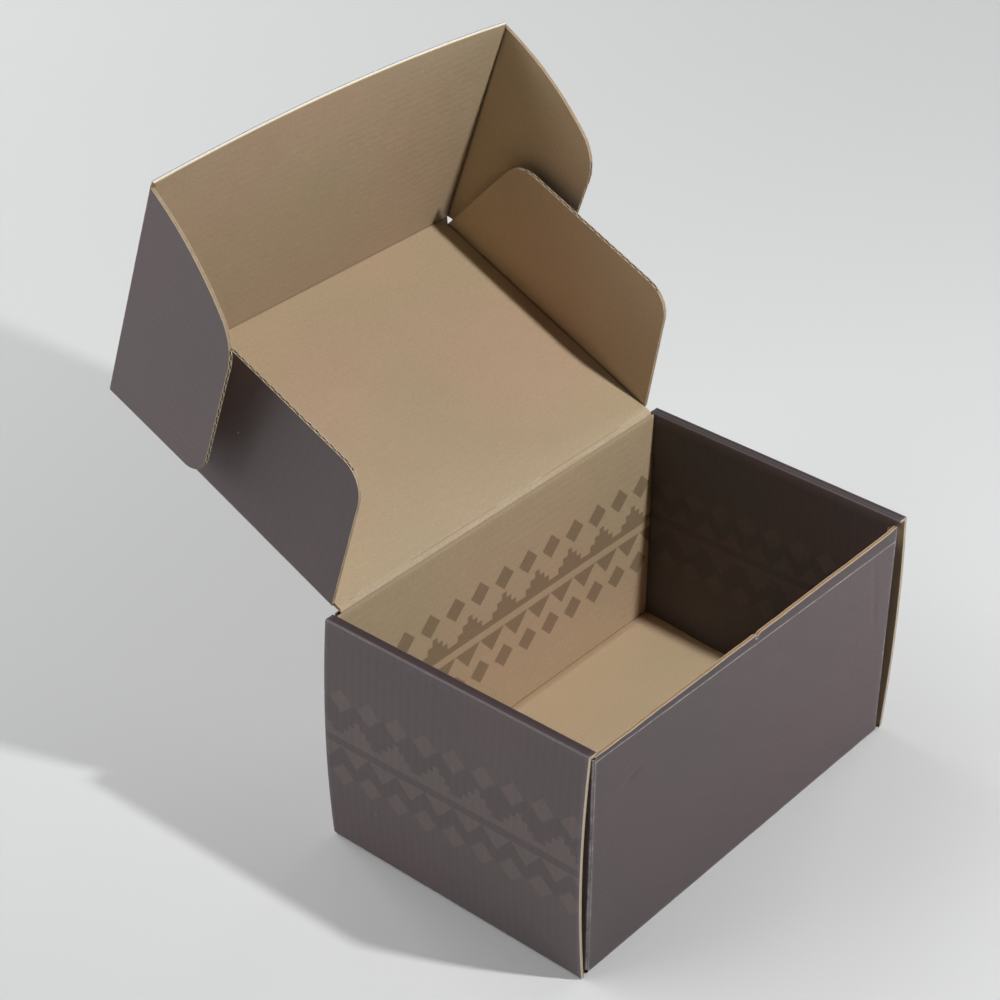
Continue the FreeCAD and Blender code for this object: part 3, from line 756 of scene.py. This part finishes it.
# %% Bridge the six creases
def crease(name, at, direction, start, end, run, arc_slot, worn_by, tails=None):
    """A slice of board that turns from one panel's face direction to the next one's."""
    sheet = Sheet()
    turn = math.acos(float(np.clip(start @ end, -1, 1)))
    share = np.linspace(0, 1, 9)
    spoke = (np.multiply.outer(np.sin((1 - share) * turn), start)
             + np.multiply.outer(np.sin(share * turn), end)) / math.sin(turn)
    along = spaced(run[0], run[1], 1.2)
    line = at + np.multiply.outer(along, direction)
    shrink = 1 - 0.12 * np.sin(math.pi * share)
    offset = spoke * shrink[:, None] * BOARD
    if tails is not None:
        offset = np.concatenate([[offset[0] + tails[0]], offset, [offset[-1] + tails[1]]])
        spoke, share = np.concatenate([spoke[:1], spoke, spoke[-1:]]), np.concatenate([[0], share, [1]])
    arc = line[:, None] + offset[None]
    coordinates = spread(share[None] * 2, along[:, None])
    worn_and_painted_light = worn_by * (0.55 + 0.45 * np.sin(math.pi * share))[None] + 0 * along[:, None]
    sheet.grid(arc, coordinates, arc_slot, spoke[None] + 0 * arc, wear=worn_and_painted_light)
    for end_at, way in ((0, -direction), (-1, direction)):
        fan = np.stack([arc[end_at], np.broadcast_to(line[end_at], arc[end_at].shape)], 0)
        sheet.grid(fan, np.stack([0 * share, share, 0 * share + 0.5], -1)[None] + 0 * fan, EDGE, way)
    piece = sheet.make(name)
    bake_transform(piece)


BACK = np.array([0, -1.0, 0])
crease("crease_hinge", HINGE_AT, X, BACK, N, (-LID_HALF, LID_HALF), INSIDE,
       0.75, tails=(np.array([0, 0, -FOLD_ROOM]), U * FOLD_ROOM))
crease("crease_tuck", TUCK_AT, X, -N, -W, (-TUCK_HALF, TUCK_HALF), OUTSIDE,
       0.9)
for side, hand in HANDS.items():
    a, b = math.radians(FLAP_ANGLE[side]), math.radians(EAR_ANGLE[side])
    flap_out = side * np.cross(U, side * math.cos(a) * X + N * math.sin(a))
    ear_out = side * np.cross(V, side * math.cos(b) * X + W * math.sin(b))
    crease("crease_flap_" + hand, HINGE_AT + N * BOARD + side * LID_HALF * X, U, -N, flap_out,
           (FLAP_START, FLAP_END), OUTSIDE, 0.8)
    crease("crease_ear_" + hand, TUCK_AT + side * TUCK_HALF * X, V, -W, ear_out,
           (EAR_START, EAR_END), OUTSIDE, 0.8)

# %% [markdown]
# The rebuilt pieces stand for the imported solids, which stay in the physics model.

# %% Stand in for the solids
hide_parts("tray")
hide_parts("lid_panel")
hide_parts("tuck_panel")
for flap, node in zip(flaps, ("lid_flap_left", "lid_flap_right", "tuck_ear_left", "tuck_ear_right")):
    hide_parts(node)

# %% [markdown]
# The finishes share a few effects, so each effect is a shader group made once. This small
# helper adds a node and links or sets its inputs, which keeps a chain of maths readable.

# %% Node helpers
class Nodes:
    def __init__(self, tree):
        self.tree = tree

    def add(self, kind, inputs=None, **settings):
        node = self.tree.nodes.new("ShaderNode" + kind)
        for key, value in settings.items():
            setattr(node, key, value)
        for key, value in (inputs or {}).items():
            socket = node.inputs[key]
            if isinstance(value, bpy.types.NodeSocket):
                self.tree.links.new(value, socket)
            else:
                socket.default_value = value
        return node

    def math(self, operation, a, b=0.0, clamp=False):
        return self.add("Math", {0: a, 1: b}, operation=operation, use_clamp=clamp).outputs[0]

    def plus(self, a, b):
        return self.math("ADD", a, b)

    def minus(self, a, b):
        return self.math("SUBTRACT", a, b)

    def times(self, a, b):
        return self.math("MULTIPLY", a, b)

    def mix(self, share, a, b, blend="MIX"):
        node = self.add("Mix", {0: share, 6: a, 7: b}, data_type="RGBA", blend_type=blend)
        return node.outputs[2]

    def attribute(self, name):
        return self.add("Attribute", attribute_name=name)

    def parts(self, name):
        """The three values of a vector attribute."""
        return self.add("SeparateXYZ", {0: self.attribute(name).outputs["Vector"]}).outputs

    def noise(self, vector, scale, detail=3.0, roughness=0.55):
        return self.add("TexNoise", {"Vector": vector, "Scale": scale, "Detail": detail,
                                     "Roughness": roughness}).outputs[0]

    def band(self, value, low, high):
        """A soft step of value from low to high."""
        return self.add("MapRange", {"Value": value, "From Min": low, "From Max": high},
                        clamp=True).outputs[0]


def new_group(name, outputs):
    tree = bpy.data.node_groups.new(name, "ShaderNodeTree")
    for label, kind in outputs:
        tree.interface.new_socket(label, in_out="OUTPUT", socket_type="NodeSocket" + kind)
    return tree, Nodes(tree), tree.nodes.new("NodeGroupOutput").inputs


# %% [markdown]
# The printed band is a common folk pattern: a row of diamonds, a row of stepped pyramids on
# a strip, a thin gap, a row of hanging triangles and a second row of diamonds. Each shape is
# a small sum on the band's own millimetres, so it stays sharp at any size.

# %% The printed band
def band_group():
    tree, n, out = new_group("printed_band", [("Shapes", "Float"), ("Ground", "Float")])
    part = n.parts("band")
    p, q = part[0], part[1]
    pitch, soft = 12.7, 0.12

    def from_centre(period):
        turn = n.math("FRACT", n.plus(n.math("DIVIDE", p, period), 100.5))
        return n.times(n.math("ABSOLUTE", n.minus(turn, 0.5)), period)

    across = from_centre(pitch)
    shapes = None
    for row in (60.1, 27.0):
        far = n.plus(across, n.math("ABSOLUTE", n.minus(q, row)))
        diamond = n.band(far, 4.95 + soft, 4.95 - soft)
        shapes = diamond if shapes is None else n.math("MAXIMUM", shapes, diamond)
    # stepped pyramids: the allowed half width grows at each step down
    step_across = from_centre(pitch * 1.4118)
    half = n.plus(1.27, n.times(n.math("LESS_THAN", q, 51.15), 2.55))
    half = n.plus(half, n.times(n.math("LESS_THAN", q, 48.55), 2.5))
    half = n.plus(half, n.times(n.math("LESS_THAN", q, 45.95), 50.0))
    stairs = n.band(n.minus(step_across, half), soft, -soft)
    tall = n.times(n.band(q, 43.3 - soft, 43.3 + soft), n.band(q, 53.7 + soft, 53.7 - soft))
    stairs = n.times(stairs, tall)
    gap = n.minus(pitch / 2, across)
    edge = n.times(n.minus(q, 32.6), 0.84)
    hanging = n.times(n.band(n.minus(gap, edge), soft, -soft),
                      n.band(q, 40.1 + soft, 40.1 - soft))
    shapes = n.math("MAXIMUM", n.math("MAXIMUM", shapes, stairs), hanging)
    above = n.band(n.plus(q, gap), 60.7 + soft, 60.7 - soft)
    below = n.band(n.minus(q, gap), 26.4 - soft, 26.4 + soft)
    ground = n.times(above, below)
    tree.links.new(shapes, out["Shapes"])
    tree.links.new(ground, out["Ground"])
    return tree


PRINTED_BAND = band_group()
print("printed band nodes:", len(PRINTED_BAND.nodes))


# %% [markdown]
# Paper is never one flat colour. One group gives slow and fine mottling, with fibres drawn
# out along the sheet, and applies each panel's painted light and shade; one says where a crease
# or rim has lost its ink, where a painted highlight lies along the side walls' creases and where
# painted shade darkens creases and strips; and one gives the relief: the flutes that telegraph
# through the facing, and the paper's own tooth.

# %% Paper mottle, wear, painted light and shade, and relief
def make_mottle_and_painted_light_group():
    tree, n, out = new_group("paper_mottle_and_painted_light", [
        ("Value", "Float"), ("Tint", "Color"), ("Fibre", "Float"), ("Specks", "Float")])
    place = n.add("TexCoord").outputs["Object"]
    cloud = n.noise(place, 28.0, 2.0)
    fine = n.noise(place, 1600.0, 3.0, 0.75)
    sheet = n.attribute("sheet").outputs["Vector"]
    drawn = n.add("Mapping", {"Vector": sheet, "Scale": (0.09, 1.1, 1.0)}).outputs[0]
    fibre = n.noise(drawn, 1.0, 4.0, 0.65)
    value = n.plus(n.times(n.minus(cloud, 0.5), 0.10),
                   n.times(n.minus(fine, 0.5), 0.5))
    value = n.plus(value, n.times(n.minus(fibre, 0.5), 0.12))
    # The band's third value is the painted light factor: it paints each panel lighter or darker.
    painted_light_factor = n.parts("band")[2]
    patch = n.band(n.noise(place, 13.0, 1.0), 0.35, 0.65)
    tree.links.new(n.mix(patch, (0.975, 1.01, 0.99, 1), (1.03, 0.975, 1.01, 1)), out["Tint"])
    cell = n.add("TexVoronoi", {"Vector": place, "Scale": 130.0}, feature="F1").outputs["Distance"]
    pick = n.noise(place, 71.0, 0.0)
    specks = n.times(n.band(cell, 0.045, 0.03), n.band(pick, 0.66, 0.68))
    value = n.times(n.plus(1.0, value), n.plus(1.0, painted_light_factor))
    for name, result in (("Value", value), ("Fibre", fibre), ("Specks", specks)):
        tree.links.new(result, out[name])
    return tree


def wear_group():
    tree, n, out = new_group("worn_edges_and_painted_light", [
        ("Mask", "Float"), ("Rubbed_and_painted_sheen", "Float"), ("Painted_shade", "Float")])
    place = n.add("TexCoord").outputs["Object"]
    rub = n.noise(place, 420.0, 5.0, 0.75)
    long_rub = n.noise(place, 60.0, 2.0)
    wear = n.attribute("wear").outputs["Fac"]
    # Above 0 the wear value is wear, along the side walls' creases also a painted highlight; below 0 it is
    # painted shade.
    tree.links.new(n.math("MAXIMUM", wear, 0.0), out["Rubbed_and_painted_sheen"])
    tree.links.new(n.math("MULTIPLY", wear, -1.0, clamp=True), out["Painted_shade"])
    amount = n.times(wear, n.plus(0.35, n.times(long_rub, 0.9)))
    mask = n.band(n.plus(amount, n.times(n.minus(rub, 0.5), 0.9)), 0.42, 0.78)
    tree.links.new(mask, out["Mask"])
    return tree


def relief_group():
    tree, n, out = new_group("board_relief", [("Normal", "Vector")])
    sheet = n.parts("sheet")
    ridge = n.math("SINE", n.times(sheet[1], 2 * math.pi / PITCH))
    place = n.add("TexCoord").outputs["Object"]
    tooth = n.noise(place, 1500.0, 3.0, 0.6)
    height = n.plus(n.times(ridge, 0.015), n.times(tooth, 0.03))
    slow = n.noise(place, 40.0, 1.0)
    height = n.plus(height, n.times(slow, 0.09))
    bump = n.add("Bump", {"Height": height, "Strength": 1.0, "Distance": 0.001})
    tree.links.new(bump.outputs[0], out["Normal"])
    return tree


MOTTLE_AND_PAINTED_LIGHT_GROUP, WEAR_AND_PAINTED_LIGHT_GROUP, RELIEF = make_mottle_and_painted_light_group(), wear_group(), relief_group()


# %% Start a material
def new_material(name):
    material = bpy.data.materials.new(name)
    material.use_nodes = True
    tree = material.node_tree
    tree.nodes.clear()
    n = Nodes(tree)
    surface = n.add("BsdfPrincipled")
    output = n.add("OutputMaterial")
    tree.links.new(surface.outputs[0], output.inputs[0])

    def use(group):
        return n.add("Group", node_tree=group).outputs

    return material, n, surface, use


def scaled(n, colour, value):
    """A colour times a number, which keeps its hue."""
    return n.mix(1.0, colour, n.add("CombineColor", {0: value, 1: value, 2: value}).outputs[0], "MULTIPLY")


# %% [markdown]
# The outside is a dark matt ink on brown paper. The shapes of the band are a shade lighter
# than the ink around them and the ground between them a shade darker. Where a crease has
# cracked, pale fibres show through.

# %% The printed outside
INK = (0.095, 0.072, 0.073, 1)
INK_SHAPE = (0.122, 0.089, 0.087, 1)
INK_GROUND = (0.080, 0.061, 0.064, 1)


def outside_material():
    material, n, surface, use = new_material("printed_outside")
    printed, paper = use(PRINTED_BAND), use(MOTTLE_AND_PAINTED_LIGHT_GROUP)
    colour = n.mix(n.times(printed["Ground"], 0.8), INK, INK_GROUND)
    colour = n.mix(n.times(printed["Shapes"], 0.9), colour, INK_SHAPE)
    colour = n.mix(1.0, scaled(n, colour, paper["Value"]), paper["Tint"], "MULTIPLY")
    worn_and_painted_light = use(WEAR_AND_PAINTED_LIGHT_GROUP)
    # Painted shade: negative wear darkens the ink to near black, on the side walls' rim strip and above the
    # front wall's crack.
    colour = n.mix(n.times(worn_and_painted_light["Painted_shade"], 0.9), colour, (0.030, 0.017, 0.019, 1))
    # Rubbed places turn a pale lilac: wear, and along the side walls' creases a painted highlight.
    colour = n.mix(n.times(worn_and_painted_light["Rubbed_and_painted_sheen"], 0.4), colour, (0.24, 0.22, 0.25, 1))
    colour = n.mix(n.times(worn_and_painted_light["Mask"], 0.75), colour, (0.54, 0.51, 0.49, 1))
    colour = n.mix(n.times(paper["Specks"], 0.7), colour, (0.5, 0.47, 0.44, 1))
    n.tree.links.new(colour, surface.inputs["Base Color"])
    n.tree.links.new(use(RELIEF)["Normal"], surface.inputs["Normal"])
    rough = n.band(paper["Fibre"], 0.2, 0.8)
    rough = n.add("MapRange", {"Value": rough, "To Min": 0.50, "To Max": 0.62}).outputs[0]
    n.tree.links.new(rough, surface.inputs["Roughness"])
    return material


# %% The bare inside
KRAFT = (0.500, 0.378, 0.243, 1)
KRAFT_PRINT = (0.268, 0.194, 0.118, 1)


def inside_material():
    material, n, surface, use = new_material("bare_inside")
    printed, paper = use(PRINTED_BAND), use(MOTTLE_AND_PAINTED_LIGHT_GROUP)
    colour = n.mix(n.times(printed["Shapes"], 0.92), KRAFT, KRAFT_PRINT)
    colour = n.mix(1.0, scaled(n, colour, paper["Value"]), paper["Tint"], "MULTIPLY")
    worn_and_painted_light = use(WEAR_AND_PAINTED_LIGHT_GROUP)
    # Painted shade: negative wear darkens the kraft to near black along the creases.
    colour = n.mix(n.times(worn_and_painted_light["Painted_shade"], 0.85), colour, (0.035, 0.022, 0.012, 1))
    colour = n.mix(n.times(worn_and_painted_light["Mask"], 0.45), colour, (0.66, 0.55, 0.44, 1))
    n.tree.links.new(colour, surface.inputs["Base Color"])
    n.tree.links.new(use(RELIEF)["Normal"], surface.inputs["Normal"])
    surface.inputs["Roughness"].default_value = 0.62
    return material


# %% [markdown]
# A cut edge along the flutes shows the two facings as pale lines and, between them, a ragged
# dark brown band with a paler line of crushed wave in its middle: the wave's own brown, with
# painted shade for the hollows. The third sheet value runs from 0 at the printed face to 1
# at the bare one.

# %% The cut edge and the fluted paper
def edge_material():
    material, n, surface, use = new_material("cut_edge")
    part = n.parts("sheet")
    paper = use(MOTTLE_AND_PAINTED_LIGHT_GROUP)
    stretched = n.add("CombineXYZ", {0: n.times(part[0], 0.35),
                                     1: n.times(part[2], 2.2)}).outputs[0]
    ragged = n.noise(stretched, 2.2, 4.0, 0.7)
    place = n.plus(part[2], n.times(n.minus(ragged, 0.5), 0.22))
    core = n.times(n.band(place, 0.17, 0.25), n.band(place, 0.84, 0.76))
    line = n.times(n.band(place, 0.36, 0.46), n.band(place, 0.66, 0.56))
    facings = n.mix(n.band(place, 0.4, 0.6), (0.52, 0.43, 0.32, 1), (0.44, 0.32, 0.20, 1))
    # The dark core is partly the crushed wave's brown and partly painted shade for the hollows between the
    # facings.
    colour = n.mix(core, facings, (0.16, 0.090, 0.038, 1))
    colour = n.mix(n.times(line, 0.85), colour, (0.42, 0.235, 0.095, 1))
    bare = n.mix(n.band(place, 0.10, 0.20), (0.12, 0.09, 0.085, 1), (0.86, 0.84, 0.78, 1))
    bare = n.mix(n.band(place, 0.72, 0.80), bare, (0.62, 0.47, 0.16, 1))
    colour = n.mix(use(WEAR_AND_PAINTED_LIGHT_GROUP)["Rubbed_and_painted_sheen"], colour, bare)
    colour = scaled(n, colour, paper["Value"])
    n.tree.links.new(colour, surface.inputs["Base Color"])
    surface.inputs["Roughness"].default_value = 0.9
    return material


def flute_material():
    material, n, surface, use = new_material("fluted_paper")
    paper = use(MOTTLE_AND_PAINTED_LIGHT_GROUP)
    # The fluted paper is coloured far darker than the facings: its own brown with painted shade for the
    # spaces between the flutes.
    colour = n.mix(paper["Fibre"], (0.045, 0.027, 0.014, 1), (0.09, 0.055, 0.028, 1))
    colour = scaled(n, colour, paper["Value"])
    n.tree.links.new(colour, surface.inputs["Base Color"])
    surface.inputs["Roughness"].default_value = 0.9
    return material


FINISHES = [outside_material(), inside_material(), edge_material(), flute_material()]
for piece in BUILT:
    for finish in FINISHES:
        piece.data.materials.append(finish)
print("pieces with finishes:", len(BUILT))

# %% [markdown]
# The table is a pale sweep, wide enough to fill the picture. It is attached to no body.

# %% The table
def table_material():
    material, n, surface, use = new_material("pale_table")
    place = n.add("TexCoord").outputs["Object"]
    cloud = n.noise(place, 1.3, 2.0)
    colour = n.mix(cloud, (0.615, 0.622, 0.625, 1), (0.645, 0.648, 0.648, 1))
    n.tree.links.new(colour, surface.inputs["Base Color"])
    surface.inputs["Roughness"].default_value = 0.6
    return material


mesh = bpy.data.meshes.new("table")
mesh.from_pydata([(-4, -4, 0), (4, -4, 0), (4, 6, 0), (-4, 6, 0)], [], [(0, 1, 2, 3)])
table = bpy.data.objects.new("table", mesh)
bpy.context.scene.collection.objects.link(table)
mesh.materials.append(table_material())
table.location.z = -0.0002

# %% [markdown]
# The camera was worked out from the photograph: the box's corners were marked and a pinhole
# camera fitted to them. It looks down from the left at about 33 degrees.

# %% The camera
azimuth, elevation, roll = math.radians(-49.74), math.radians(33.26), math.radians(0.50)
CAMERA_DISTANCE = 0.8231             # metres from the point that it looks at
target = Vector((-0.0231, 0.0345, 0.1108))
back = Vector((math.sin(azimuth) * math.cos(elevation), -math.cos(azimuth) * math.cos(elevation),
               math.sin(elevation)))
right = Vector((math.cos(azimuth), math.sin(azimuth), 0))
up = back.cross(right)
right, up = right * math.cos(roll) + up * math.sin(roll), up * math.cos(roll) - right * math.sin(roll)
camera = bpy.data.objects.new("camera", bpy.data.cameras.new("camera"))
bpy.context.scene.collection.objects.link(camera)
camera.matrix_world = Matrix((
    (right.x, up.x, back.x, target.x + back.x * CAMERA_DISTANCE),
    (right.y, up.y, back.y, target.y + back.y * CAMERA_DISTANCE),
    (right.z, up.z, back.z, target.z + back.z * CAMERA_DISTANCE),
    (0, 0, 0, 1)))
camera.data.sensor_width = 36
camera.data.lens = 2.548 * 36
camera.data.clip_start = 0.01
bpy.context.scene.camera = camera

# %% [markdown]
# The light is a small studio: a near lamp above the front right, which draws the clear
# shadow on the left, and large panels behind and at the sides that keep the shadows open.
# The lamp's place follows from the shadow's outline. The strengths were fitted to the
# photograph's tones, and what they left over is painted into the panels as light and shade above.

# %% The lights
def panel(name, way, distance, size, power):
    """A square lamp that shines on the box from the direction way."""
    data = bpy.data.lights.new(name, "AREA")
    data.shape = "SQUARE"
    data.size = size
    data.energy = power
    lamp = bpy.data.objects.new(name, data)
    bpy.context.scene.collection.objects.link(lamp)
    way = Vector(way).normalized()
    lamp.location = Vector((0, 0.03, 0.08)) + way * distance
    lamp.rotation_mode = "QUATERNION"
    lamp.rotation_quaternion = way.to_track_quat("Z", "Y")


LAMPS = {
    "key": ((0.163, -0.650, 0.742), 0.6996, 0.03, 3.85),
    "rear_left": ((-0.9, 0.9, 0.8), 2.4, 2.0, 35.0),
    "rear": ((0.0, 1.0, 0.4), 2.4, 1.4, 36.0),
    "rear_right": ((0.7, 0.9, 0.4), 2.4, 1.4, 6.6),
    "right": ((1.0, 0.0, 0.4), 2.4, 1.4, 22.0),
    "left": ((-1.0, 0.3, 0.4), 2.4, 1.4, 5.0),
}
for name, (way, distance, size, power) in LAMPS.items():
    panel(name, way, distance, size, power)

world = bpy.data.worlds.new("studio")
bpy.context.scene.world = world
world.use_nodes = True
world.node_tree.nodes["Background"].inputs[0].default_value = (1.0, 1.0, 1.0, 1)
world.node_tree.nodes["Background"].inputs[1].default_value = 0.02
bpy.context.scene.view_settings.view_transform = "Standard"
